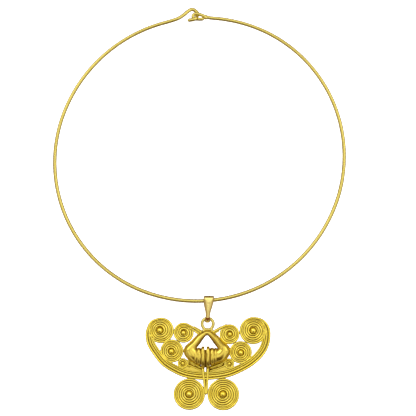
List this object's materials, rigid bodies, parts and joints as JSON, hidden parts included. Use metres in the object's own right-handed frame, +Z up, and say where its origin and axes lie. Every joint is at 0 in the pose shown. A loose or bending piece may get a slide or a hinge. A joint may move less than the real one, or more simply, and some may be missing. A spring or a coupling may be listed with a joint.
{
  "type": "omega necklace",
  "caption": "Rigid round gold-coloured neck wire with hook and eye, tapered bail, and cast openwork butterfly pendant of spiral discs.",
  "frame": {"origin": "inside of the neck wire at the nape, where the necklace is held up", "axes": "+Z up as it hangs, the pendant's front faces -Y, +X to the right seen from the front"},
  "size_m": [0.1392, 0.0064, 0.1911],
  "materials": {
    "neck_gold": "polished, pale gold plate",
    "bail_gold": "polished, gold plate",
    "pendant_gold": "satin cast relief with polished nose ring, gold plate"
  },
  "bodies": {
    "neck": {"neck_wire": "neck_gold"},
    "bail": {"bail": "bail_gold"},
    "pendant": {"pendant": "pendant_gold"}
  },
  "joints": [
    {"name": "bail_swing", "type": "hinge", "parent": "neck", "child": "bail", "pos_m": [0.0039, 0, -0.13385], "axis": [1, 0, 0], "continuous": true},
    {"name": "pendant_swing", "type": "hinge", "parent": "bail", "child": "pendant", "pos_m": [0.0039, 0, -0.14225], "axis": [1, 0, 0], "range_deg": [-90, 90]}
  ]
}
